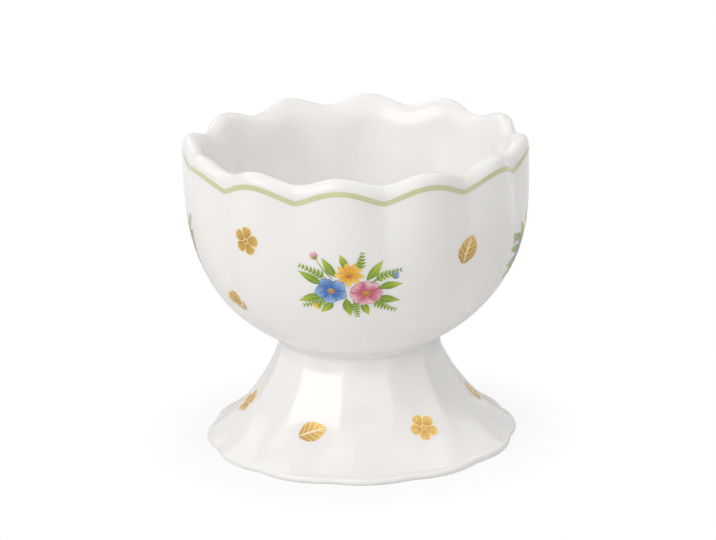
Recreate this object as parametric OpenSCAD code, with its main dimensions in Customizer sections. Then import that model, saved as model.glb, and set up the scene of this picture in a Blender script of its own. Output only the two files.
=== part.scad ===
// Porcelain egg cup on a fluted foot.
// A lobed bowl and a flared hollow foot are cast apart and luted together with slip.
// A green line follows the waved lip, and small transfers are fired onto the glaze.
// The origin is on the table under the middle of the foot, with +Z up and the front at -Y.

/* [Form] */
// Number of lobes round the bowl, and of flutes round the foot
lobes = 12; // [8:4:16]

/* [Foot] */
// Height of the foot, from the table to the slip joint
foot_h = 17.75; // [13:0.05:26]
// Radius of the foot over the scallops of its base edge
foot_r = 26.4; // [22:0.1:34]
// Radius of the foot where the bowl sits on it
neck_r = 13.6; // [10:0.1:17]
// Turn of the foot's flutes against the bowl's lobes, in degrees
foot_turn = 9; // [0:0.5:15]
// Depth of the flutes between the foot's ridges
flute_depth = 0.85; // [0.2:0.05:1.5]
// Height below the joint over which the flutes fade away
flute_fade_h = 3; // [2:0.5:9]
// Depth of the notches in the base edge, where the ridges run out
edge_scallop = 0.7; // [0:0.05:1.2]
// Height over which the scalloped edge turns into flutes
scallop_fade_h = 7; // [3:0.5:9]
// Height of the base edge
base_edge_h = 1.2; // [1.2:0.1:3]
// Rounding of the base edge where it meets the table
base_lower_r = 0.4; // [0.2:0.1:0.4]
// Rounding of the base edge where the foot flares out to it
base_upper_r = 0.7; // [0.3:0.1:0.7]
// Length over which the neck stays nearly upright below the joint
neck_pull = 7.8; // [5:0.1:10]
// Lean of the neck away from upright, in degrees
neck_lean = 13; // [2:1:20]
// Length over which the foot runs straight out to its base edge
flare_pull = 4.1; // [3:0.1:7]
// Rise of the foot at its base edge, in degrees
flare_rise = 33.5; // [15:0.5:45]
// Thickness of the foot's wall at the joint
foot_wall = 2.8; // [2:0.1:4]
// Width of the bare ring that the cup stands on
stand_ring_w = 2.6; // [1.5:0.1:4]
// Length over which the hollow runs straight in from the table
hollow_pull = 5; // [3:0.1:7]
// Rise of the hollow at the table, in degrees
hollow_rise = 46; // [35:1:65]
// Depth of the flutes on the inside of the foot
inner_flute_depth = 0.4; // [0:0.05:0.8]

/* [Slip joint] */
// Thickness of the slip between foot and bowl
joint_t = 0.5; // [0.2:0.1:1]
// Depth of the sponged groove round the outside of the slip
joint_groove = 0.12; // [0:0.02:0.2]

/* [Bowl] */
// Height of the bowl, from the slip joint to the top of the lip's waves
bowl_h = 34.35; // [28:0.05:44]
// Radius of the bowl over its lobes
bowl_r = 29; // [25:0.1:36]
// Depth of the creases between the lobes, just under the lip
lobe_depth = 1.4; // [0.4:0.1:2.5]
// Length over which the bowl spreads out from the joint
bowl_spread = 18.3; // [14:0.1:22]
// Rise of the bowl's underside at the joint, in degrees
bowl_rise = 26.7; // [15:0.1:40]
// Length over which the bowl's side stands upright under the green line
side_pull = 9; // [5:0.1:14]
// Thickness of the lip
lip_t = 3.1; // [2.2:0.1:4]
// Height of the lip's rounded top above the green line
lip_rise = 1.75; // [1:0.05:3]
// Drop of the lip's top between the lobes
lip_wave = 1.6; // [0:0.1:2.5]
// Depth of the scallops round the top of the lip
lip_scallop = 0.9; // [0:0.1:1.6]
// Thickness of the bowl's floor over the joint
floor_t = 3.9; // [2.5:0.1:6]
// Length over which the inside wall runs straight down from the lip
inner_drop = 21; // [12:0.5:24]
// Length over which the floor of the egg seat runs flat
floor_pull = 19; // [12:0.5:21]

/* [Green line] */
// Width of the green line
line_w = 0.9; // [0.5:0.1:2]
// Thickness of the fired line
line_t = 0.1; // [0.06:0.01:0.2]
// Drop of the green line between the lobes
line_wave = 2.2; // [0:0.1:3.5]

/* [Transfers] */
// Thickness of a fired transfer
transfer_t = 0.1; // [0.06:0.01:0.2]

/* [Hidden] */

glaze = [0.95, 0.94, 0.92];
slip_white = [0.90, 0.88, 0.84];
line_green = [0.74, 0.76, 0.55];
spray_green = [0.55, 0.66, 0.36];
gold = [0.85, 0.65, 0.27];

// Columns run up the cup. Ten to a lobe put one on each crest and one in each crease.
lobe_columns = 10;
columns = lobes * lobe_columns;
// Steps of the wall rows, chosen so that the rows lie about as far apart as the columns
wall_steps = 14;
lip_steps = 6;
inner_steps = 7;
flare_steps = 11;
edge_steps = 2;
hollow_steps = 5;

// Sharpness of the waves: 2 is smooth, and less makes creases between lobes or ridges between flutes
crease_power = 1.34;
lip_power = 1.6;
ridge_power = 1;
// How fast the lobes and the line's wave fade down the wall, as powers of the share of its height
lobe_fade_power = 1.6;
wave_fade_power = 4;

// Heights at which the pieces meet, and radii that they share
seat_z = foot_h + joint_t;
line_top_z = seat_z + bowl_h - lip_rise;
line_low_z = line_top_z - line_w;
floor_z = seat_z + floor_t;
neck_bore_r = neck_r - foot_wall;
ridge_r = foot_r - edge_scallop;
stand_outer_r = ridge_r - base_lower_r;
stand_inner_r = stand_outer_r - stand_ring_w;

// Point on a cubic curve of four control points
function curve(p, t) = pow(1 - t, 3) * p[0] + 3 * pow(1 - t, 2) * t * p[1]
                     + 3 * (1 - t) * t * t * p[2] + pow(t, 3) * p[3];
function polar(len, angle) = len * [cos(angle), sin(angle)];
// 0 to 1 with level ends
function ease(s) = let(c = min(1, max(0, s))) c * c * (3 - 2 * c);
// 0 on a lobe's crest, 1 in the crease beside it
function crease(angle, power) = 1 - pow(abs(cos(lobes * angle / 2)), power);
// 0 on a ridge of the foot, 1 in the middle of the flute beside it
function flute(angle) = pow(abs(cos(lobes * angle / 2)), ridge_power);

// The bowl's section, as stations [radius, height, crease depth, wave drop, sharpness],
// from the seat up the wall, over the lip and down to the floor
wall_curve = [[neck_r, seat_z],
              [neck_r, seat_z] + polar(bowl_spread, bowl_rise),
              [bowl_r, line_low_z - side_pull],
              [bowl_r, line_low_z]];
function wall_share(z) = (z - seat_z) / (line_low_z - seat_z);
function wall_station(p) = let(s = max(0, wall_share(p[1])))
    [p[0], p[1], lobe_depth * pow(s, lobe_fade_power), line_wave * pow(s, wave_fade_power), crease_power];
lip_mid_r = bowl_r - lip_t / 2;
function lip_station(i) = let(s = i / lip_steps, p = polar(1, 180 * s), e = ease(2 * s))
    [lip_mid_r + lip_t / 2 * p[0], line_top_z + lip_rise * p[1],
     lobe_depth + (lip_scallop - lobe_depth) * e, line_wave + (lip_wave - line_wave) * e,
     crease_power + (lip_power - crease_power) * e];
inner_curve = [[bowl_r - lip_t, line_top_z],
               [bowl_r - lip_t, line_top_z - inner_drop],
               [floor_pull, floor_z],
               [0, floor_z]];
function inner_station(i) = let(t = i / (inner_steps + 1), p = curve(inner_curve, t), e = ease(1 - 2 * t))
    [p[0], p[1], lip_scallop * e, lip_wave * e, lip_power];
bowl_stations = concat(
    [for (i = [0:wall_steps]) wall_station(curve(wall_curve, i / wall_steps))],
    [for (i = [0:lip_steps]) lip_station(i)],
    [for (i = [1:inner_steps]) inner_station(i)]);
line_row = wall_steps;

// The foot's section over its ridges, as stations [radius, height, flute depth], from the table
// up the outside, over the top and down the hollow. A depth below zero bulges out between the
// ridges, which scallops the base edge.
edge_centre = [ridge_r - base_upper_r, base_edge_h - base_upper_r];
flare_start = edge_centre + [0, base_upper_r];
flare_curve = [flare_start,
               flare_start + polar(flare_pull, 180 - flare_rise),
               [neck_r, foot_h] + polar(neck_pull, neck_lean - 90),
               [neck_r, foot_h]];
hollow_curve = [[neck_bore_r, foot_h],
                [neck_bore_r, foot_h] + polar(neck_pull, neck_lean - 90),
                [stand_inner_r, 0] + polar(hollow_pull, 180 - hollow_rise),
                [stand_inner_r, 0]];
function foot_station(p, depth, scallop) =
    let(up = ease((p[1] - base_edge_h) / scallop_fade_h), below = ease((foot_h - p[1]) / flute_fade_h))
    [p[0], p[1], depth * p[0] / ridge_r * up * below - scallop * (1 - up)];
function outer_station(p) = foot_station(p, flute_depth, edge_scallop);
foot_stations = concat(
    [for (i = [0:edge_steps])
        outer_station([stand_outer_r, base_lower_r] + polar(base_lower_r, -90 + 90 * i / edge_steps))],
    [for (i = [0:edge_steps - 1])
        outer_station(edge_centre + polar(base_upper_r, 90 * i / edge_steps))],
    [for (i = [0:flare_steps]) outer_station(curve(flare_curve, i / flare_steps))],
    [for (i = [0:hollow_steps])
        foot_station(curve(hollow_curve, i / hollow_steps), inner_flute_depth, edge_scallop)]);
flare_row = 2 * edge_steps + 1;

// Rings of points, one ring to a station
bowl_rings = [for (s = bowl_stations) [for (j = [0:columns - 1])
    let(a = 360 * j / columns, v = crease(a, s[4]), r = s[0] - s[2] * v)
    [r * cos(a), r * sin(a), s[1] - s[3] * v]]];
foot_rings = [for (s = foot_stations) [for (j = [0:columns - 1])
    let(a = 360 * j / columns, r = s[0] - s[2] * flute(a))
    [r * cos(a), r * sin(a), s[1]]]];

// A cell of the skin is split so that the cuts radiate from the nearest of the four sides' middles,
// which lets a transfer have slanting corners that lie on the skin's own facets
side_columns = columns / 4;
function falls(i, j, mid_row) = ((j + columns) % side_columns < side_columns / 2) == (i >= mid_row);
function cell(i, j, mid_row) = let(k = j + 1, h = i + 1)
    falls(i, j, mid_row) ? [[[i, j], [h, j], [i, k]], [[i, k], [h, j], [h, k]]]
                         : [[[i, j], [h, k], [i, k]], [[i, j], [h, j], [h, k]]];

// Rows at the middle height of the sprays and of the foot's motifs
spray_mid_row = 7;
foot_mid_row = flare_row + 4;

// A closed skin over rings of equal count. Without joined, fans close it at each end's middle.
module skin(rings, mid_row, joined) {
    n = len(rings);
    last = n - 1;
    low_pole = n * columns;
    high_pole = low_pole + 1;
    ring_points = [for (ring = rings) each ring];
    poles = [[0, 0, rings[0][0][2]], [0, 0, rings[last][0][2]]];
    walls = [for (i = [0:joined ? last : last - 1]) for (j = [0:columns - 1])
        for (tri = cell(i, j, mid_row)) [for (v = tri) (v[0] % n) * columns + v[1] % columns]];
    fans = [for (j = [0:columns - 1]) let(k = (j + 1) % columns)
        each [[low_pole, j, k], [last * columns + j, high_pole, last * columns + k]]];
    polyhedron(joined ? ring_points : concat(ring_points, poles), joined ? walls : concat(walls, fans));
}

// Outward direction of a skin at row i and column j
function unit(v) = v / norm(v);
function outward(rings, i, j) =
    let(ring = rings[i], along = ring[(j + 1) % columns] - ring[(j + columns - 1) % columns])
    unit(cross(along, rings[i + 1][j % columns] - rings[i - 1][j % columns]));
function raised(rings, i, j, t) = let(k = (j + columns) % columns) rings[i][k] + t * outward(rings, i, k);

// A film on the skin between row i and the row above it, all the way round
module band(rings, i, mid_row, t) {
    points = concat(rings[i], rings[i + 1],
                    [for (j = [0:columns - 1]) raised(rings, i, j, t)],
                    [for (j = [0:columns - 1]) raised(rings, i + 1, j, t)]);
    function at(v, layer) = (2 * layer + v[0] - i) * columns + v[1] % columns;
    faces = [for (j = [0:columns - 1])
        let(low = [i, j], low_next = [i, j + 1], top = [i + 1, j], top_next = [i + 1, j + 1])
        each concat(
            [for (tri = cell(i, j, mid_row)) [for (v = tri) at(v, 1)]],
            [for (tri = cell(i, j, mid_row)) [at(tri[2], 0), at(tri[1], 0), at(tri[0], 0)]],
            [[at(low, 0), at(low, 1), at(low_next, 1)], [at(low, 0), at(low_next, 1), at(low_next, 0)],
             [at(top, 0), at(top_next, 1), at(top, 1)], [at(top, 0), at(top_next, 0), at(top_next, 1)]])];
    polyhedron(points, faces);
}

// A film on the skin about column middle, from row first up. Each entry of spans is
// the columns that the film reaches to the left and to the right of the middle on that row.
module film(rings, middle, first, spans, mid_row, t) {
    rows = len(spans);
    width = [for (s = spans) s[0] + s[1] + 1];
    before = [for (r = [0:rows]) r == 0 ? 0 : [for (q = [0:r - 1]) width[q]] * [for (q = [0:r - 1]) 1]];
    total = before[rows];
    spots = [for (r = [0:rows - 1]) for (c = [-spans[r][0]:spans[r][1]]) [first + r, middle + c]];
    function inside(v) = let(c = v[1] - middle, s = spans[v[0] - first]) c >= -s[0] && c <= s[1];
    function at(v, layer) = layer * total + before[v[0] - first] + v[1] - middle + spans[v[0] - first][0];
    left = max([for (s = spans) s[0]]);
    right = max([for (s = spans) s[1]]);
    tris = [for (r = [0:rows - 2]) for (c = [-left:right - 1])
        for (tri = cell(first + r, middle + c, mid_row))
            if (inside(tri[0]) && inside(tri[1]) && inside(tri[2])) tri];
    top = rows - 1;
    outline = concat(
        [for (c = [-spans[0][0]:1:spans[0][1]]) [first, middle + c]],
        [for (r = [1:1:top]) [first + r, middle + spans[r][1]]],
        [for (c = [spans[top][1] - 1:-1:-spans[top][0]]) [first + top, middle + c]],
        [for (r = [top - 1:-1:1]) [first + r, middle - spans[r][0]]]);
    sides = [for (q = [0:len(outline) - 1]) let(v = outline[q], w = outline[(q + 1) % len(outline)])
        each [[at(v, 0), at(v, 1), at(w, 1)], [at(v, 0), at(w, 1), at(w, 0)]]];
    polyhedron(
        concat([for (v = spots) rings[v[0]][(v[1] + columns) % columns]],
               [for (v = spots) raised(rings, v[0], v[1], t)]),
        concat([for (tri = tris) [for (v = tri) at(v, 1)]],
               [for (tri = tris) [at(tri[2], 0), at(tri[1], 0), at(tri[0], 0)]], sides));
}

// The transfer of a spray of blossoms, an oval with slanting corners on the middle of a side
spray_spans = [[4, 4], [5, 5], [6, 6], [6, 6], [5, 5], [4, 4]];
module spray(side) {
    color(spray_green)
        film(bowl_rings, side * side_columns, spray_mid_row - 2, spray_spans, spray_mid_row, transfer_t);
}

// A small gold transfer, three rows high, with two or more corners cut along the skin's own cuts
module motif(rings, middle, first, mid_row) {
    left = falls(first, middle - 1, mid_row) ? 1 : 0;
    right = falls(first, middle, mid_row) ? 1 : 0;
    film(rings, middle, first, [[1 - left, right], [1, 1], [left, 1 - right]], mid_row, transfer_t);
}

// The bowl is one casting: seat, lobed wall, waved lip and smooth egg seat inside
module bowl() {
    color(glaze) skin(bowl_rings, spray_mid_row, false);
}

// The foot is a hollow fluted casting, open at the top under the bowl and at the table
module foot() {
    color(glaze) rotate(foot_turn) skin(foot_rings, foot_mid_row, true);
}

// Slip luted between the foot's top and the bowl's seat, sponged hollow round the outside
module slip_joint() {
    color(slip_white) rotate_extrude($fn = columns) translate([0, foot_h])
        difference() {
            translate([neck_bore_r, 0]) square([foot_wall, joint_t]);
            translate([neck_r - joint_groove + joint_t, joint_t / 2]) circle(joint_t, $fn = 48);
        }
}

// The green line is fired onto the glaze under the lip and waves with the lobes
module rim_line() {
    color(line_green) band(bowl_rings, line_row, spray_mid_row, line_t);
}

module spray_front() { spray(3); }
module spray_right() { spray(0); }
module spray_back() { spray(1); }
module spray_left() { spray(2); }

// Gold transfers in the gaps between the sprays: two in every other gap, one high beside the front
// or back spray and one low, and a single one of middle height in the gaps between
module gold_motifs_bowl() {
    color(gold) for (middle = [side_columns, 3 * side_columns]) {
        motif(bowl_rings, middle - lobe_columns, spray_mid_row + 2, spray_mid_row);
        motif(bowl_rings, middle - side_columns / 2, spray_mid_row - 3, spray_mid_row);
        motif(bowl_rings, middle + side_columns / 2, spray_mid_row + 1, spray_mid_row);
    }
}

// Gold transfers on the foot, in every other flute
module gold_motifs_foot() {
    color(gold) rotate(foot_turn) for (middle = [0:2 * lobe_columns:columns - 1])
        motif(foot_rings, middle, foot_mid_row, foot_mid_row);
}

bowl();
foot();
slip_joint();
rim_line();
spray_front();
spray_right();
spray_back();
spray_left();
gold_motifs_bowl();
gold_motifs_foot();
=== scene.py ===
import math

import bmesh
import bpy
from mathutils import Matrix, Vector, geometry, noise
from mathutils.bvhtree import BVHTree


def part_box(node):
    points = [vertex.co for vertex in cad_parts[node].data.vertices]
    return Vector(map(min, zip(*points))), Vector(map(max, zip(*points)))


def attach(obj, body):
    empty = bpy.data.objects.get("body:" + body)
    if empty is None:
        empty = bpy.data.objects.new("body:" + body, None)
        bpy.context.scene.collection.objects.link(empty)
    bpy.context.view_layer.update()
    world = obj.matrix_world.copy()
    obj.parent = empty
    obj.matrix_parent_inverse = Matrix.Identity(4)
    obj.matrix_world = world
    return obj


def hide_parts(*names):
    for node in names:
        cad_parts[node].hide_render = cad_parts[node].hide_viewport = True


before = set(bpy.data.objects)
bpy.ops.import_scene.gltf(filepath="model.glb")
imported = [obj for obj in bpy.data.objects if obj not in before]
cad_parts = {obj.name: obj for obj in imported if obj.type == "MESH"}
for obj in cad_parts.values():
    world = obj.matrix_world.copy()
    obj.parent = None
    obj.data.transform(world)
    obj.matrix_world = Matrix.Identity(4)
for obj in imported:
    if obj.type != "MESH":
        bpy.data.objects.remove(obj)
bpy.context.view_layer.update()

# Foot: a hollow flared stand of porcelain, cast by itself in a fluted mould and open at both ends.
# It is dipped in glaze with the bowl, and the ring that it stands on is wiped bare before the
# firing. Its ridges lie a little to one side of the bowl's creases.
mm = 0.001
lobes = 12
columns = 20 * lobes
foot_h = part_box("foot")[1].z
foot_r = max(v.co.xy.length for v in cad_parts["foot"].data.vertices)
neck_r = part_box("slip_joint")[1].x
foot_turn = 9
flute_depth = 0.85 * mm
inner_flute_depth = 0.4 * mm
flute_fade_h = 3 * mm
edge_scallop = 0.7 * mm
scallop_fade_h = 7 * mm
base_edge_h = 1.2 * mm
base_lower_r = 0.4 * mm
base_upper_r = 0.7 * mm
neck_pull = 7.8 * mm
neck_lean = 13
flare_pull = 4.1 * mm
flare_rise = 33.5
foot_wall = 2.8 * mm
stand_ring_w = 2.6 * mm
hollow_pull = 5 * mm
hollow_rise = 46
ridge_sharpness = 1
ridge_r = foot_r - edge_scallop
stand_outer_r = ridge_r - base_lower_r
stand_inner_r = stand_outer_r - stand_ring_w
neck_bore_r = neck_r - foot_wall
flare_steps = 56
hollow_steps = 30
lower_steps = 5
upper_steps = 8
foot_warp = 0.05 * mm
warp_spacing = 24 * mm
welded = 0.001 * mm
sharp_turn = math.radians(45)


def polar(length, degrees):
    """A step in the section's plane, outward and up."""
    angle = math.radians(degrees)
    return Vector((length * math.cos(angle), length * math.sin(angle)))


def arc(centre, radius, first, last, steps):
    """Points of a round stretch of a section, from one direction to another in degrees."""
    return [centre + polar(radius, first + (last - first) * i / steps) for i in range(steps + 1)]


def ease(share):
    """0 to 1 with level ends."""
    held = min(1, max(0, share))
    return held * held * (3 - 2 * held)


def lobe_wave(angle):
    """1 on a lobe's crest, 0 in the crease beside it."""
    return abs(math.cos(lobes * angle / 2))


def turned(section, closed, wave, cast_warp):
    """A skin spun from a section of stations, each a radius, a height, how far the wave draws it
    in and down, and how sharp the wave is there. Closed is whether the last station joins the
    first, wave is the share of the draw at an angle, and cast_warp is how uneven the casting is."""
    bm = bmesh.new()
    names = ("inward", "downward", "sharpness")
    layers = [bm.verts.layers.float.new(name) for name in names]
    rim = []
    for radius, height, *draws in section:
        vert = bm.verts.new((radius, 0, height))
        for layer, value in zip(layers, draws):
            vert[layer] = value
        rim.append(vert)
    for near, far in zip(rim, rim[1:] + rim[:closed]):
        bm.edges.new((near, far))
    bmesh.ops.spin(bm, geom=bm.verts[:] + bm.edges[:], cent=(0, 0, 0), axis=(0, 0, 1),
                   angle=math.tau, steps=columns, use_merge=True)
    bmesh.ops.remove_doubles(bm, verts=bm.verts[:], dist=welded)
    bmesh.ops.recalc_face_normals(bm, faces=bm.faces[:])
    pool = bm.verts.layers.float.new("pool")
    inward, downward, sharpness = [bm.verts.layers.float[name] for name in names]
    deepest = max(v[inward] for v in bm.verts) or 1
    for v in bm.verts:
        drawn = wave(math.atan2(v.co.y, v.co.x), v[sharpness])
        v[pool] = drawn * max(0, v[inward]) / deepest
        out = v.co.xy.normalized().to_3d()
        warp = noise.noise(v.co / warp_spacing) * cast_warp
        v.co += out * (warp - v[inward] * drawn)
        v.co.z -= v[downward] * drawn
    bm.normal_update()
    for edge in bm.edges:
        edge.smooth = edge.calc_face_angle(0) < sharp_turn
    for name in names:
        bm.verts.layers.float.remove(bm.verts.layers.float[name])
    return bm


def swing(bm, verts, degrees):
    """Turns a shape about the upright through the origin."""
    turn = Matrix.Rotation(math.radians(degrees), 3, "Z")
    bmesh.ops.rotate(bm, cent=(0, 0, 0), matrix=turn, verts=verts)


def flute(angle, sharpness):
    """0 on a ridge of the foot, 1 in the middle of the flute beside it."""
    return lobe_wave(angle) ** sharpness


def foot_station(point, depth):
    """A station of the foot. Under the base edge the flutes turn into outward scallops."""
    radius, height = point
    up = ease((height - base_edge_h) / scallop_fade_h)
    below = ease((foot_h - height) / flute_fade_h)
    inward = depth * radius / ridge_r * up * below - edge_scallop * (1 - up)
    return radius, height, inward, 0, ridge_sharpness


lower_centre = Vector((stand_outer_r, base_lower_r))
edge_centre = Vector((ridge_r - base_upper_r, base_edge_h - base_upper_r))
flare_start = edge_centre + Vector((0, base_upper_r))
neck_top = Vector((neck_r, foot_h))
bore_top = Vector((neck_bore_r, foot_h))
stand_inner = Vector((stand_inner_r, 0))
neck_handle = polar(neck_pull, neck_lean - 90)
flare_handle = polar(flare_pull, 180 - flare_rise)
hollow_handle = polar(hollow_pull, 180 - hollow_rise)
flare = geometry.interpolate_bezier(flare_start, flare_start + flare_handle,
                                    neck_top + neck_handle, neck_top, flare_steps)
hollow = geometry.interpolate_bezier(bore_top, bore_top + neck_handle,
                                     stand_inner + hollow_handle, stand_inner, hollow_steps)
outside = arc(lower_centre, base_lower_r, -90, 0, lower_steps)
outside += arc(edge_centre, base_upper_r, 0, 90, upper_steps)[:-1] + flare
foot_section = [foot_station(p, flute_depth) for p in outside]
foot_section += [foot_station(p, inner_flute_depth) for p in hollow]


class Link:
    """A socket among a finish's nodes, so that sums on it read as they would on paper."""

    def __init__(self, tree, socket=None):
        self.tree = tree
        self.socket = socket

    def node(self, kind, settings, values, output=0):
        """Lays down a node of a kind, with its settings first and then its sockets."""
        made = self.tree.nodes.new("ShaderNode" + kind)
        for name, value in settings.items():
            setattr(made, name, value)
        for name, value in values.items():
            if isinstance(value, Link):
                self.tree.links.new(value.socket, made.inputs[name])
            else:
                made.inputs[name].default_value = value
        return Link(self.tree, made.outputs[output] if made.outputs else None)

    def maths(self, operation, *values):
        """A Math node's result for one or two numbers or links."""
        return self.node("Math", {"operation": operation}, dict(enumerate(values)))

    def __add__(self, other):
        return self.maths("ADD", self, other)

    def __sub__(self, other):
        return self.maths("SUBTRACT", self, other)

    def __rsub__(self, other):
        return self.maths("SUBTRACT", other, self)

    def __mul__(self, other):
        return self.maths("MULTIPLY", self, other)

    def __abs__(self):
        return self.maths("ABSOLUTE", self)

    __radd__ = __add__
    __rmul__ = __mul__

    def larger(self, other):
        """The larger of the two."""
        return self.maths("MAXIMUM", self, other)

    def axis(self, name):
        """One coordinate of a place or of a UV."""
        return self.node("SeparateXYZ", {}, {0: self}, name)

    def rise(self, low, high):
        """0 below low, 1 above high, and smooth between them."""
        return self.node("MapRange", {"interpolation_type": "SMOOTHSTEP"},
                         {"Value": self, "From Min": low, "From Max": high})

    def tint(self, pale, deep):
        """A colour from pale where this is 0 to deep where it is 1."""
        pale, deep = [c if isinstance(c, Link) else (*c, 1) for c in (pale, deep)]
        return self.node("Mix", {"data_type": "RGBA"}, {0: self, 6: pale, 7: deep}, 2)


def finish(name):
    """A new material with no nodes, and a link to lay its nodes down from."""
    material = bpy.data.materials.new(name)
    material.use_nodes = True
    material.node_tree.nodes.clear()
    return material, Link(material.node_tree)


def grain(start, spacing, depth):
    """Unevenness whose patches lie about spacing apart, from 0 to 1."""
    place = start.node("TexCoord", {}, {}, "Object")
    return start.node("TexNoise", {}, {"Vector": place, "Scale": 1 / spacing, "Detail": depth})


# How far red, green and blue light spread inside the body, in millimetres
body_depth = (1.2, 1.0, 0.8)


def coated(start, colour, roughness, height, relief, metal=0.0, glow=0.0):
    """Ends a finish in a glassy coat: relief is how far its surface rises with height, and glow is
    how much of the light spreads inside the body before it comes out."""
    normal = start.node("Bump", {}, {"Strength": 1.0, "Distance": relief, "Height": height})
    shader = start.node("BsdfPrincipled", {}, {
        "Base Color": colour, "Roughness": roughness, "Metallic": metal, "IOR": 1.5, "Normal": normal,
        "Subsurface Weight": glow, "Subsurface Radius": body_depth, "Subsurface Scale": mm})
    start.node("OutputMaterial", {}, {"Surface": shader})


glaze_white = (0.955, 0.942, 0.93)
glaze_pooled = (0.935, 0.927, 0.917)
biscuit_white = (0.80, 0.775, 0.73)
biscuit_grey = (0.66, 0.63, 0.58)
body_glow = 0.35
cloud_spacing = 14 * mm
ripple_spacing = 4 * mm
ripple_relief = 0.002 * mm
grit_spacing = 0.25 * mm
bare_top = 0.3 * mm


def porcelain(name, bare):
    """White porcelain under clear glaze, cooler where the glaze pools, and bare biscuit on a
    standing ring where bare is 1."""
    material, start = finish(name)
    cloud = grain(start, cloud_spacing, 2.0)
    pool = start.node("Attribute", {"attribute_name": "pool"}, {}, "Fac")
    skin = (pool * 0.7 + cloud * 0.5 - 0.1).tint(glaze_white, glaze_pooled)
    ripple = grain(start, ripple_spacing, 1.0)
    smooth = 0.09 + cloud * 0.07
    if bare:
        height = start.node("TexCoord", {}, {}, "Object").axis("Z")
        glazed = height.rise(bare_top / 2, bare_top)
        grit = grain(start, grit_spacing, 3.0)
        skin = glazed.tint((grit * 0.6).tint(biscuit_white, biscuit_grey), skin)
        smooth = smooth + (1 - glazed) * 0.5
    coated(start, skin, smooth, ripple, ripple_relief, glow=body_glow)
    return material


def placed(name, bm, finishes, node):
    """Turns a bmesh into a piece of the cup that stands for a CAD node."""
    mesh = bpy.data.meshes.new(name)
    bm.to_mesh(mesh)
    bm.free()
    for material in finishes:
        mesh.materials.append(material)
    mesh.polygons.foreach_set("use_smooth", [True] * len(mesh.polygons))
    piece = bpy.data.objects.new(name, mesh)
    bpy.context.scene.collection.objects.link(piece)
    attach(piece, "root")
    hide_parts(node)


foot_bm = turned(foot_section, True, flute, foot_warp)
swing(foot_bm, foot_bm.verts[:], foot_turn)
foot_skin = BVHTree.FromBMesh(foot_bm)
placed("fluted_foot", foot_bm, [porcelain("foot glaze", True)], "foot")

# Slip joint: liquid clay that lutes the bowl to the foot's top while both are leather-hard.
# It is sponged into a small cove round the neck, and the glaze runs over it.
seat_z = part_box("bowl")[0].z
bowl_rise = 26.7
cove = 1.4 * mm
sunk = 0.015 * mm
buried = 0.3 * mm
cove_dive = 0.1 * mm
cove_steps = 12
seat_edge = Vector((neck_r, seat_z))
cove_low = neck_top + polar(cove, neck_lean - 90) - Vector((buried, 0))
cove_high = seat_edge + polar(cove, bowl_rise) + Vector((0, cove_dive))
cove_line = geometry.interpolate_bezier(cove_low, neck_top, seat_edge, cove_high, cove_steps)
cove_section = [Vector((neck_bore_r, seat_z)), bore_top, cove_low - Vector((buried, 0))]
cove_section += [p + Vector((0, sunk)) for p in cove_line] + [cove_high + Vector((0, buried))]
joint_section = [(*p, 0, 0, 1) for p in cove_section]
placed("slip_cove", turned(joint_section, True, lambda angle, sharpness: 0, 0),
       [porcelain("cove glaze", False)], "slip_joint")

# Bowl: a lobed porcelain cup, cast in a plaster mould whose twelve creases fade out towards the
# neck. The lip is thick and rounded and waves with the lobes, and the inside is smooth, for an egg.
bowl_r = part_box("bowl")[1].x
lip_top_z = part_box("bowl")[1].z
line_top_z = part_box("rim_line")[1].z
line_w = 0.9 * mm
lobe_depth = 1.4 * mm
bowl_spread = 18.3 * mm
side_pull = 9 * mm
lip_t = 3.1 * mm
lip_rise = lip_top_z - line_top_z
lip_wave = 1.6 * mm
lip_scallop = 0.9 * mm
inner_swell = 0.9 * mm
inner_lip_h = 5 * mm
floor_t = 3.9 * mm
inner_drop = 17.8 * mm
floor_pull = 19 * mm
line_wave = 2.2 * mm
crease_sharpness = 1.34
lip_sharpness = 2.1
lobe_fade = 1.6
wave_fade = 4
wall_steps = 60
lip_steps = 24
inner_steps = 46
bowl_warp = 0.06 * mm
line_low_z = line_top_z - line_w
floor_z = seat_z + floor_t


def crease(angle, sharpness):
    """0 on a lobe's crest, 1 in the crease beside it."""
    return 1 - lobe_wave(angle) ** sharpness


def wall_station(point):
    """A station of the outside wall, whose creases deepen towards the lip."""
    share = max(0, (point[1] - seat_z) / (line_low_z - seat_z))
    inward, downward = lobe_depth * share ** lobe_fade, line_wave * share ** wave_fade
    return (*point, inward, downward, crease_sharpness)


def lip_station(share):
    """A station of the lip, from its outer side over the top and down its softer inner side."""
    out, up = polar(1, 180 * share)
    reach, depth = lip_t / 2, lip_rise
    if share >= 0.5:
        reach, depth = reach + inner_swell, inner_lip_h
    point = Vector((bowl_r - lip_t / 2 + out * reach, lip_top_z - (1 - up) * depth))
    soft = ease(2 * share)
    inward = lobe_depth + (lip_scallop - lobe_depth) * soft
    downward = line_wave + (lip_wave - line_wave) * soft
    return (*point, inward, downward,
            crease_sharpness + (lip_sharpness - crease_sharpness) * math.sqrt(share))


def inner_station(point, share):
    """A station of the inside, where the scallops of the lip die out on the way down."""
    left = ease(1 - 2 * share)
    return (*point, lip_scallop * left, lip_wave * left, lip_sharpness)


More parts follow.
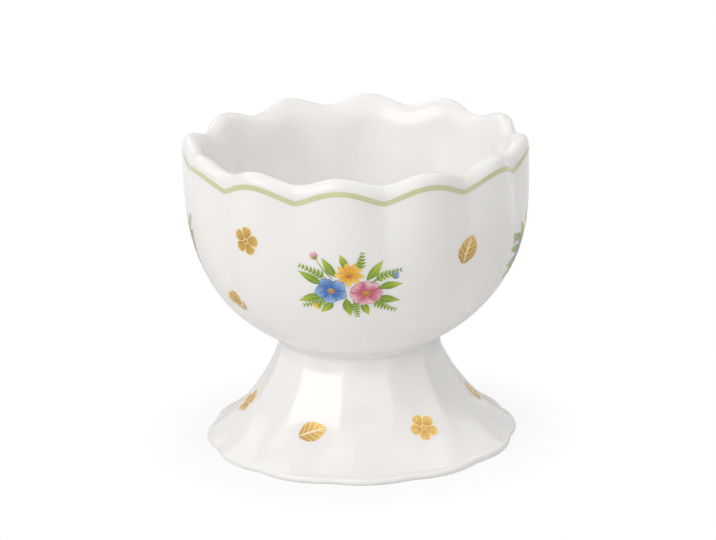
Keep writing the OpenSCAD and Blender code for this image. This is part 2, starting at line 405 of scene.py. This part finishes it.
lip_edge = Vector((bowl_r, line_low_z))
inner_edge = Vector((bowl_r - lip_t - inner_swell, lip_top_z - inner_lip_h))
wall = geometry.interpolate_bezier(seat_edge, seat_edge + polar(bowl_spread, bowl_rise),
                                   lip_edge - Vector((0, side_pull)), lip_edge, wall_steps)
inside = geometry.interpolate_bezier(inner_edge, inner_edge - Vector((0, inner_drop)),
                                     Vector((floor_pull, floor_z)), Vector((0, floor_z)), inner_steps)
bowl_section = [(0, seat_z, 0, 0, 1)]
bowl_section += [wall_station(p) for p in wall]
bowl_section += [lip_station(i / lip_steps) for i in range(lip_steps + 1)]
bowl_section += [inner_station(p, i / (inner_steps - 1)) for i, p in enumerate(inside) if i > 0]
bowl_bm = turned(bowl_section, False, crease, bowl_warp)
bowl_skin = BVHTree.FromBMesh(bowl_bm)
placed("lobed_bowl", bowl_bm, [porcelain("bowl glaze", False)], "bowl")

# Green line: on-glaze enamel, laid with a lining brush just under the lip and fired on.
# It dips with every crease, and its edges waver a little, as those of a hand-laid line do.
line_t = 0.03 * mm
line_columns = 60 * lobes
line_rows = 6
line_lift = 0.004 * mm
line_sag = 0.04 * mm
line_waver = 9
line_pale = (0.72, 0.725, 0.45)
line_deep = (0.62, 0.63, 0.36)
line_relief = 0.01 * mm
worn_spacing = 0.9 * mm
dense_spacing = 7 * mm


def line_finish():
    """Sage green enamel, paler along its edges and uneven along its length."""
    material, start = finish("line enamel")
    across = start.node("UVMap", {"uv_map": "stroke"}, {}).axis("Y")
    edge = abs(across - 0.5)
    worn = grain(start, worn_spacing, 2.0)
    dense = grain(start, dense_spacing, 1.0)
    green = (dense * 1.6 - 0.3).tint(line_pale, line_deep)
    bare = (edge + worn * 0.12).rise(0.47, 0.60)
    coated(start, bare.tint(green, glaze_white), 0.14 + worn * 0.08, dense, line_relief)
    return material


def lined():
    """A ribbon, a little uneven in width, that follows the line's waves on the bowl."""
    bm = bmesh.new()
    stroke = bm.loops.layers.uv.new("stroke")
    share = bm.verts.layers.float.new("share")
    rows = []
    for i in range(line_rows + 1):
        row = bm.verts.new((bowl_r, 0, i))
        row[share] = i / line_rows
        rows.append(row)
    for low, high in zip(rows, rows[1:]):
        bm.edges.new((low, high))
    bmesh.ops.spin(bm, geom=bm.verts[:] + bm.edges[:], cent=(0, 0, 0), axis=(0, 0, 1),
                   angle=math.tau, steps=line_columns, use_merge=True)
    bmesh.ops.recalc_face_normals(bm, faces=bm.faces[:])
    share = bm.verts.layers.float["share"]
    for face in bm.faces:
        for loop in face.loops:
            loop[stroke].uv = (0, loop.vert[share])

    def middle(angle):
        return line_top_z - line_w / 2 - line_wave * crease(angle, crease_sharpness)

    step = math.radians(0.5)
    for v in bm.verts:
        angle = math.atan2(v.co.y, v.co.x)
        climb = middle(angle + step) - middle(angle - step)
        along = Vector((2 * step * bowl_r, climb)).normalized()
        round_cup = Vector((math.cos(angle), math.sin(angle), 0))
        wobble = noise.noise(round_cup * line_waver) * line_sag
        reach = (v[share] - 0.5) * (line_w + wobble)
        turn = angle - along.y * reach / bowl_r
        height = middle(angle) + along.x * reach + wobble
        out = Vector((math.cos(turn), math.sin(turn), 0))
        hit = bowl_skin.ray_cast(out * 2 * bowl_r + Vector((0, 0, height)), -out)[0]
        raised = line_t * (1 - (2 * v[share] - 1) ** 4)
        v.co = hit + out * (raised + line_lift)
    return bm


placed("green_line", lined(), [line_finish()], "rim_line")

# Sprays: colour transfers, one in the middle of each side, printed on a sheet with ceramic inks,
# slid onto the fired glaze and fired again. Each shows three blossoms among leaves and fern.
ink_step = 0.004 * mm
film_steps = 4
print_relief = 0.004 * mm
held_off = 10 * mm
spray_drop = 0.5 * mm
spray_z = (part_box("spray_front")[0].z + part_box("spray_front")[1].z) / 2 - spray_drop
spray_slip = math.radians(2.5)
spray_reach = 4 * mm
petal_root = 0.25 * mm
stamens = 7
stamen_size = 0.24 * mm
stamen_reach = 0.62
leaflet_gap = 0.62 * mm
leaflet_lean = 52
bud_nod = 14
bud_petal_lean = 24
bud_sepal_lean = 30


def ink(red, green, blue):
    """A printed colour, given as it reads on a colour card from 0 to 255."""
    return tuple(((c / 255 + 0.055) / 1.055) ** 2.4 for c in (red, green, blue))


def cut(bm, form, place, turn, level, paint, shade, cells=(6, 9)):
    """Cuts one closed petal or leaf out of the film, its root at place and its tip at a turn in
    degrees from straight up. Level is its place in the stack of inks, shade sets its tone apart
    from its neighbours', and cells is how finely it is divided across and along."""
    print_uv = bm.loops.layers.uv.verify()
    tone = bm.verts.layers.float["tone"]
    grid = bmesh.ops.create_grid(bm, x_segments=cells[0], y_segments=cells[1], size=1)["verts"]
    faces = list({face for v in grid for face in v.link_faces})
    for face in faces:
        face.material_index = paint
        for loop in face.loops:
            loop[print_uv].uv = ((loop.vert.co.x + 1) / 2, (loop.vert.co.y + 1) / 2)
    length, width = form["length"], form["width"]
    wide_at, fullness = form["wide_at"], form["fullness"]
    root, tip = form.get("root", 0.02), form.get("tip", 0.02)
    for v in grid:
        side, along = v.co.x, (v.co.y + 1) / 2
        spread = math.sin(math.pi * (root + (1 - root - tip) * along) ** wide_at) ** fullness
        swell = form.get("round", 0) * side * side + form.get("notch", 0) * (1 - abs(side)) ** 2
        v.co.x = side * width / 2 * spread + form.get("bend", 0) * length * along * along
        v.co.y = length * along * (1 - swell * along)
        v.co.z = 0
        v[tone] = shade
    swing(bm, grid, turn)
    bmesh.ops.translate(bm, verts=grid, vec=(*place, 0))
    lifted = bmesh.ops.extrude_face_region(bm, geom=faces, use_keep_orig=True)["geom"]
    top = [g for g in lifted if isinstance(g, bmesh.types.BMVert)]
    bmesh.ops.translate(bm, verts=top, vec=(0, 0, (level + film_steps) * ink_step))
    flat = set(faces) | {g for g in lifted if isinstance(g, bmesh.types.BMFace)}
    for face in {face for v in top for face in v.link_faces} - flat:
        face.material_index = paint
        for edge in face.edges:
            edge.smooth = False
    return grid + top


stem_form = {"width": 0.22 * mm, "wide_at": 1, "fullness": 0.25, "bend": 0.15}
leaf_form = {"wide_at": 0.85, "fullness": 1.15, "tip": 0.01, "bend": 0.12}
leaflet_form = {"length": 0.95 * mm, "width": 0.42 * mm, "wide_at": 0.9, "fullness": 0.8,
                "bend": 0.1}
round_petal = {"length": 2.5 * mm, "width": 2.5 * mm, "wide_at": 1.35, "fullness": 0.55,
               "tip": 0.05, "round": 0.10}
heart_petal = {"length": 2.5 * mm, "width": 2.9 * mm, "wide_at": 1.7, "fullness": 0.6,
               "tip": 0.09, "round": 0.10, "notch": 0.16}
narrow_petal = {"length": 2.2 * mm, "width": 0.95 * mm, "wide_at": 1.35, "fullness": 0.6,
                "tip": 0.05, "round": 0.08}
dot_form = {"wide_at": 1, "fullness": 0.5, "root": 0.01, "tip": 0.01}
bud_petal = dict(round_petal, length=1.25 * mm, width=0.8 * mm)
bud_sepal = dict(leaflet_form, length=0.75 * mm, width=0.4 * mm)
LEAF, FERN, PINK, BLUE, YELLOW, EYE = range(6)


def around(place, degrees, distance):
    """The point at a distance from place, at a turn in degrees from straight up."""
    turn = math.radians(degrees)
    return place[0] - math.sin(turn) * distance, place[1] + math.cos(turn) * distance


def dot(bm, place, size, level, paint, shade):
    """A round dot of ink."""
    low = (place[0], place[1] - size / 2)
    return cut(bm, dict(dot_form, length=size, width=size), low, 0, level, paint, shade, (4, 6))


def blossom(bm, place, form, count, turn, squash, level, paint, eye):
    """Petals round an eye, drawn as if tipped back a little, with stamens on the eye's rim."""
    made = []
    for i in range(count):
        bearing = turn + 360 * i / count + 5 * math.sin(7 * i + turn)
        root = around((0, 0), bearing, petal_root)
        order = 2 if i == count - 1 and count % 2 else i % 2
        made += cut(bm, form, root, bearing, level + order, paint, (0.37 * i + turn / 90) % 1)
    made += dot(bm, (0, 0), eye, level + 3, EYE, 0.2)
    for i in range(stamens):
        on_rim = around((0, 0), 360 * i / stamens + turn, stamen_reach * eye)
        made += dot(bm, on_rim, stamen_size, level + 4, EYE, 0.9)
    bmesh.ops.scale(bm, vec=(1, squash, 1), verts=made)
    swing(bm, made, turn / 3)
    bmesh.ops.translate(bm, verts=made, vec=(*place, 0))


def frond(bm, place, turn, length, bend, level):
    """A fern frond: a thin stem with pairs of leaflets that grow smaller to its tip."""
    cut(bm, dict(stem_form, length=length, bend=bend), place, turn, level, FERN, 0.9, (2, 12))
    pairs = round(length / leaflet_gap)
    for i in range(1, pairs + 1):
        share = i / (pairs + 0.3)
        sideways = bend * length * share * share
        joint = around(around(place, turn, length * share), turn - 90, sideways)
        lean = math.degrees(2 * bend * share)
        size = 1.25 - 0.75 * share
        leaflet = dict(leaflet_form, length=leaflet_form["length"] * size,
                       width=leaflet_form["width"] * size)
        for side in (-1, 1):
            cut(bm, leaflet, joint, turn - lean + side * leaflet_lean, level + 1, FERN,
                (0.29 * i + 0.5 * side) % 1, (2, 5))


def sprig(bm, place, turn, length, paint, level):
    """A small bud in its green cup on a thin stem."""
    cut(bm, dict(stem_form, length=length), place, turn, level, LEAF, 0.8, (2, 10))
    head = around(around(place, turn, length), turn - 90, stem_form["bend"] * length)
    nod = turn - bud_nod
    for side in (-1, 0, 1):
        cut(bm, bud_petal, head, nod + bud_petal_lean * side, level + 2 - abs(side), paint,
            0.5 + 0.4 * side, (4, 6))
    for side in (-1, 1):
        cut(bm, bud_sepal, head, nod + bud_sepal_lean * side, level + 3, LEAF, 0.3, (2, 5))


def spot(skin, angle, height, reach):
    """Where a transfer lies at an angle and a height: a matrix of the directions along the girth,
    up the wall and outward, and the point in its middle."""
    out = Vector((math.cos(angle), math.sin(angle), 0))
    low, middle, high = [
        skin.ray_cast(out * 2 * bowl_r + Vector((0, 0, height + step)), -out)[0]
        for step in (-reach, 0, reach)]
    side = Vector((-out.y, out.x, 0))
    rise = (high - low).normalized()
    return Matrix((side, rise, side.cross(rise))).transposed(), middle


def press(verts, skin, angle, height, reach):
    """Presses a flat sheet of ink onto the cup at an angle and a height. What lies above zero
    stays that far above the glaze. Reach is how far up and down the wall's slope is taken."""
    turn, middle = spot(skin, angle, height, reach)
    out = turn.col[2]
    for v in verts:
        start = middle + turn @ Vector((v.co.x, v.co.y, held_off))
        v.co = skin.ray_cast(start, -out)[0] + out * v.co.z


def print_finish(name, pale, deep, dark, rib):
    """Printed enamel of one colour: deep at the root, pale at the tip, streaked along its length,
    with a fine dark outline. Rib is how strongly a middle vein and side veins show."""
    material, start = finish(name)
    uv = start.node("UVMap", {}, {})
    across, along = uv.axis("X"), uv.axis("Y")
    tone = start.node("Attribute", {"attribute_name": "tone"}, {}, "Fac")
    side = abs(across * 2 - 1)
    spread = start.node("CombineXYZ", {}, {
        "X": across * 7 + tone * 31, "Y": along * 1.6, "Z": tone * 17})
    streak = start.node("TexNoise", {}, {"Vector": spread, "Scale": 1.0, "Detail": 2.0})
    body = (along * 1.1 + streak * 1.1 - 0.75 + (tone - 0.5) * 0.35).rise(0, 1)
    colour = body.tint(deep, pale)
    border = side.larger(abs(along * 2 - 1))
    outline = (border + streak * 0.10).rise(0.90, 1.02) * 0.75
    colour = outline.tint(colour, dark)
    if rib:
        lines = start.maths("FRACT", along * 6 - side * 1.6)
        vein = 1 - abs(lines - 0.5).rise(0.0, 0.16)
        middle = 1 - side.rise(0.04, 0.16)
        colour = (middle.larger(vein * 0.5) * rib).tint(colour, pale)
    coated(start, colour, 0.13 + streak * 0.08, streak, print_relief)
    return material


spray_inks = [
    print_finish("leaf ink", ink(196, 212, 66), ink(116, 154, 38), ink(56, 92, 32), 0.6),
    print_finish("fern ink", ink(182, 202, 74), ink(126, 160, 48), ink(76, 112, 42), 0.0),
    print_finish("pink ink", ink(246, 206, 212), ink(206, 96, 124), ink(160, 56, 88), 0.0),
    print_finish("blue ink", ink(156, 192, 232), ink(62, 112, 186), ink(36, 66, 128), 0.0),
    print_finish("yellow ink", ink(253, 224, 104), ink(240, 176, 48), ink(190, 120, 38), 0.0),
    print_finish("eye ink", ink(250, 206, 90), ink(196, 120, 40), ink(122, 70, 34), 0.0)]

# All places and lengths in these four lists are in millimetres from the spray's middle, across and
# up, and all turns are in degrees from straight up.
# Leaves: root, turn, length and width
leaves = [(-4.2, 0.5, 74, 4.3, 1.4), (-4.4, -1.8, 108, 4.2, 1.5), (-2.7, -2.7, 150, 3.3, 1.4),
          (-0.5, -2.2, 182, 3.7, 1.6), (1.9, -3.1, 208, 2.9, 1.3), (4.3, -2.3, 246, 3.9, 1.5),
          (4.7, -0.6, 282, 3.9, 1.4), (2.9, 1.2, 312, 4.0, 1.5), (-2.0, 2.0, 42, 3.8, 1.4),
          (-0.4, 3.4, 12, 2.6, 1.2)]
# Fronds: root, turn and length, and which way they bend
fronds = [(-3.6, 1.6, 62, 4.6, -0.16), (-3.6, -2.2, 128, 4.4, 0.16), (3.7, -2.9, 226, 4.3, -0.16),
          (4.0, 0.9, 296, 4.6, 0.16), (0.6, -2.6, 196, 3.5, 0.12), (1.6, 3.0, 338, 3.0, -0.14)]
# Sprigs: root, turn, length and ink
sprigs = [(-2.6, 1.6, 48, 4.0, PINK), (3.0, 0.4, 292, 3.9, BLUE), (-2.0, -2.0, 132, 3.2, YELLOW)]
# Blossoms: middle, petals and their number, turn, how far tipped back, ink and size of the eye
blossoms = [(0.1, 2.3, narrow_petal, 9, 10, 0.9, YELLOW, 1.1),
            (-2.9, -0.7, round_petal, 5, 20, 0.92, BLUE, 0.9),
            (2.7, -1.3, heart_petal, 5, -24, 0.88, PINK, 1.0)]


def spray(mirrored):
    """The flat print of a spray: fronds lowest, then leaves, sprigs and blossoms. On two of the
    sides it is mirrored, and pink and blue change places."""
    bm = bmesh.new()
    bm.verts.layers.float.new("tone")
    changed = {PINK: BLUE, BLUE: PINK} if mirrored else {}
    for x, y, turn, length, bend in fronds:
        frond(bm, (x * mm, y * mm), turn, length * mm, bend, 0)
    for i, (x, y, turn, length, width) in enumerate(leaves):
        form = dict(leaf_form, length=length * mm, width=width * mm,
                    bend=leaf_form["bend"] * (-1) ** i)
        cut(bm, form, (x * mm, y * mm), turn, 2 + i % 3, LEAF, (0.41 * i) % 1)
    for x, y, turn, length, paint in sprigs:
        sprig(bm, (x * mm, y * mm), turn, length * mm, changed.get(paint, paint), 5)
    for i, (x, y, form, count, turn, squash, paint, eye) in enumerate(blossoms):
        blossom(bm, (x * mm, y * mm), form, count, turn, squash, 9 + 3 * i,
                changed.get(paint, paint), eye * mm)
    if mirrored:
        bmesh.ops.scale(bm, vec=(-1, 1, 1), verts=bm.verts[:])
    bmesh.ops.recalc_face_normals(bm, faces=bm.faces[:])
    return bm


for quarter, side in enumerate(("right", "back", "left", "front")):
    spray_bm = spray(side in ("right", "left"))
    angle = math.tau * quarter / 4 + spray_slip
    press(spray_bm.verts, bowl_skin, angle, spray_z, spray_reach)
    placed("spray_of_blossoms_" + side, spray_bm, spray_inks, "spray_" + side)

# Gold motifs on the bowl: small transfers in ochre gold, fired on with the sprays. In every other gap
# between the sprays a blossom sits high and a bud low, and in the gaps between there is one leaf.
gold_root = ink(186, 144, 62)
gold_tip = ink(224, 184, 98)
gold_open = ink(250, 234, 196)
gold_relief = 0.003 * mm
gold_worn_spacing = 0.4 * mm
gold_reach = 1.5 * mm
gold_petals = 5
gold_petal_root = 0.3 * mm
gold_eye = 1 * mm
bud_petal_drop = 1.2 * mm
bud_cup_drop = 2.2 * mm
GOLD_LEAF, GOLD_PETAL = range(2)


def gold_finish(name, veined):
    """Thin satin gold. The veins of a leaf and the rim of a petal are left open to the glaze."""
    material, start = finish(name)
    uv = start.node("UVMap", {}, {})
    side, along = abs(uv.axis("X") * 2 - 1), uv.axis("Y")
    worn = grain(start, gold_worn_spacing, 2.0)
    body = (along * 0.8 + worn * 1.2 - 0.5).rise(0, 1).tint(gold_root, gold_tip)
    if veined:
        lines = start.maths("FRACT", along * 5 - side * 1.4)
        middle = 1 - side.rise(0.05, 0.16)
        bare = middle.larger(0.8 - abs(lines - 0.5).rise(0.02, 0.18))
    else:
        bare = side.larger(abs(along * 2 - 1)).rise(0.74, 0.92)
    bare = bare.larger(worn.rise(0.62, 0.80) * 0.5)
    coated(start, bare.tint(body, gold_open), 0.30 + worn * 0.12, worn, gold_relief,
           metal=0.3 - bare * 0.3)
    return material


gold_inks = [gold_finish("gold leaf ink", True), gold_finish("gold petal ink", False)]
gold_leaf = dict(leaf_form, length=4.8 * mm, width=3.8 * mm, wide_at=0.9, fullness=0.75)
gold_petal = dict(round_petal, length=2.3 * mm, width=2.2 * mm)
gold_bud_petal = dict(round_petal, length=3.4 * mm, width=1.9 * mm)
gold_bud_leaf = dict(leaflet_form, length=2 * mm, width=0.8 * mm)


def leaf(bm, turn):
    """One broad leaf, centred on the sheet."""
    root = around((0, 0), turn, -gold_leaf["length"] / 2)
    return cut(bm, gold_leaf, root, turn, 0, GOLD_LEAF, 0.5, (10, 14))


def bud(bm, turn):
    """Three petals that stand up out of a cup of two small leaves."""
    made = []
    root = around((0, 0), turn, -bud_petal_drop)
    for level, lean in enumerate((26, -26, 0)):
        made += cut(bm, gold_bud_petal, root, turn + lean, level, GOLD_PETAL, 0.5)
    root = around((0, 0), turn, -bud_cup_drop)
    for lean in (-42, 42):
        made += cut(bm, gold_bud_leaf, root, turn + lean, 3, GOLD_LEAF, 0.5, (4, 8))
    return made


def gold_blossom(bm, turn):
    """Five petals round an open eye, the last one over both its neighbours."""
    made = []
    for i in range(gold_petals):
        bearing = turn + 360 * i / gold_petals
        root = around((0, 0), bearing, gold_petal_root)
        order = i % 2 + (i == gold_petals - 1)
        made += cut(bm, gold_petal, root, bearing, order, GOLD_PETAL, 0.5)
    made += dot(bm, (0, 0), gold_eye, 3, GOLD_PETAL, 0.5)
    return made


def gilded(name, places, skin, node):
    """A piece of gold motifs, each a shape, its turn, its angle round the cup and its height."""
    bm = bmesh.new()
    bm.verts.layers.float.new("tone")
    for shape, turn, degrees, height in places:
        press(shape(bm, turn), skin, math.radians(degrees), height, gold_reach)
    bmesh.ops.recalc_face_normals(bm, faces=bm.faces[:])
    placed(name, bm, gold_inks, node)


# On the front and the back side: shape, turn, degrees round the cup from the side's middle, height
side_gold = [(gold_blossom, -12, -33, 41.2 * mm), (bud, 40, -47, 28.9 * mm), (leaf, -14, 45, 38.6 * mm)]
bowl_gold = [(shape, turn, side + away, height)
             for side in (-90, 90) for shape, turn, away, height in side_gold]
gilded("gold_motifs_on_bowl", bowl_gold, bowl_skin, "gold_motifs_bowl")

# Gold motifs on the foot: leaves and blossoms by turns, one in every other flute. They are small
# transfers of the same ochre gold, fired on with those of the bowl.
third_gold = [(leaf, -58, -119, 6.5 * mm), (gold_blossom, 20, -61, 6.3 * mm)]
foot_gold = [(shape, turn, foot_turn + third + away, height)
             for third in (0, 120, 240) for shape, turn, away, height in third_gold]
gilded("gold_motifs_on_foot", foot_gold, foot_skin, "gold_motifs_foot")

# Floor, backdrop, lamps and camera: the cup stands on a wide sheet of white paper in a white room.
# Square soft boxes light it, and a long lens looks a little down on it.
floor_half = 6
floor_drop = 0.02 * mm
floor_shade = 0.14
shade_reach = (27 * mm, 40 * mm)
mirror_shade = 0.9
mirror_reach = (90 * mm, 200 * mm)


def rays(start):
    """Whether the camera looks straight at it, and whether the cup mirrors it or lets it through."""
    straight = start.node("LightPath", {}, {}, "Is Camera Ray")
    glossy = start.node("LightPath", {}, {}, "Is Glossy Ray")
    through = start.node("LightPath", {}, {}, "Is Transmission Ray")
    return straight, glossy + through


floor_bm = bmesh.new()
bmesh.ops.create_grid(floor_bm, x_segments=1, y_segments=1, size=floor_half)
bmesh.ops.translate(floor_bm, verts=floor_bm.verts[:], vec=(0, 0, -floor_drop))
floor_mesh = bpy.data.meshes.new("floor")
floor_bm.to_mesh(floor_mesh)
floor_bm.free()
floor = bpy.data.objects.new("floor", floor_mesh)
bpy.context.scene.collection.objects.link(floor)

floor_material, start = finish("white paper")
place = start.node("TexCoord", {}, {}, "Object")
away = start.node("VectorMath", {"operation": "LENGTH"}, {0: place}, "Value")
straight, mirrored = rays(start)
seen = straight * (1 - (1 - away.rise(*shade_reach)) * floor_shade)
seen = seen + mirrored * (1 - (1 - away.rise(*mirror_reach)) * mirror_shade)
paper = start.node("BsdfDiffuse", {}, {"Color": (0.9, 0.9, 0.9, 1)})
white = start.node("Emission", {}, {"Color": (1, 1, 1, 1), "Strength": 1.0})
floor_shader = start.node("MixShader", {}, {0: seen, 1: paper, 2: white})
start.node("OutputMaterial", {}, {"Surface": floor_shader})
floor_mesh.materials.append(floor_material)

world = bpy.data.worlds.new("white room")
bpy.context.scene.world = world
world.use_nodes = True
world.node_tree.nodes.clear()
start = Link(world.node_tree)
straight, mirrored = rays(start)
sky = start.node("Background", {}, {"Color": (1, 1, 1, 1), "Strength": straight + mirrored})
start.node("OutputWorld", {}, {"Surface": sky})

lamp_white = (1, 0.978, 0.957)


def outlook(azimuth, elevation):
    """The direction from the cup to what stands round it. Azimuth 0 is the front, and it grows
    towards +X."""
    turn, up = math.radians(azimuth), math.radians(elevation)
    return Vector((math.sin(turn) * math.cos(up), -math.cos(turn) * math.cos(up), math.sin(up)))


def lamp(name, azimuth, elevation, distance, size, brightness):
    """A square soft box that faces the cup, its distance and size in metres. At a brightness of 1
    its mirror image in the glaze is about as bright as the white room's."""
    light = bpy.data.lights.new(name, "AREA")
    light.shape = "SQUARE"
    light.size = size
    light.energy = brightness * math.pi * size * size
    light.color = lamp_white
    back = outlook(azimuth, elevation)
    piece = bpy.data.objects.new(name, light)
    piece.location = Vector((0, 0, lip_top_z / 2)) + back * distance
    piece.rotation_euler = back.to_track_quat("Z", "Y").to_euler()
    bpy.context.scene.collection.objects.link(piece)


lamp("key", -46, 30, 0.9, 0.62, 3.3)
lamp("left", -85, 35, 1, 0.49, 1)
lamp("front", 0, 25, 1, 0.62, 1)
lamp("front_high", -10, 60, 1, 0.50, 1)
lamp("top", 0, 88, 1, 0.55, 1)
lamp("right", 60, 25, 1, 0.81, 1)
lamp("right_high", 90, 55, 1, 0.69, 1)
lamp("back_left", -140, 45, 1, 0.72, 1)
lamp("back_right", 140, 45, 1, 0.70, 1)

view_azimuth = 5.67
view_elevation = 17.2
view_roll = -1.4
view_distance = 560 * mm
view_lens = 166.97
aim_z = 28.9 * mm
back = outlook(view_azimuth, view_elevation)
roll = Matrix.Rotation(math.radians(view_roll), 3, "Z").to_quaternion()
camera_data = bpy.data.cameras.new("camera")
camera_data.sensor_width = 36
camera_data.lens = view_lens
camera_data.clip_start = 10 * mm
camera = bpy.data.objects.new("camera", camera_data)
camera.location = Vector((0, 0, aim_z)) + back * view_distance
camera.rotation_mode = "QUATERNION"
camera.rotation_quaternion = back.to_track_quat("Z", "Y") @ roll
bpy.context.scene.collection.objects.link(camera)
bpy.context.scene.camera = camera
bpy.context.scene.view_settings.view_transform = "Standard"
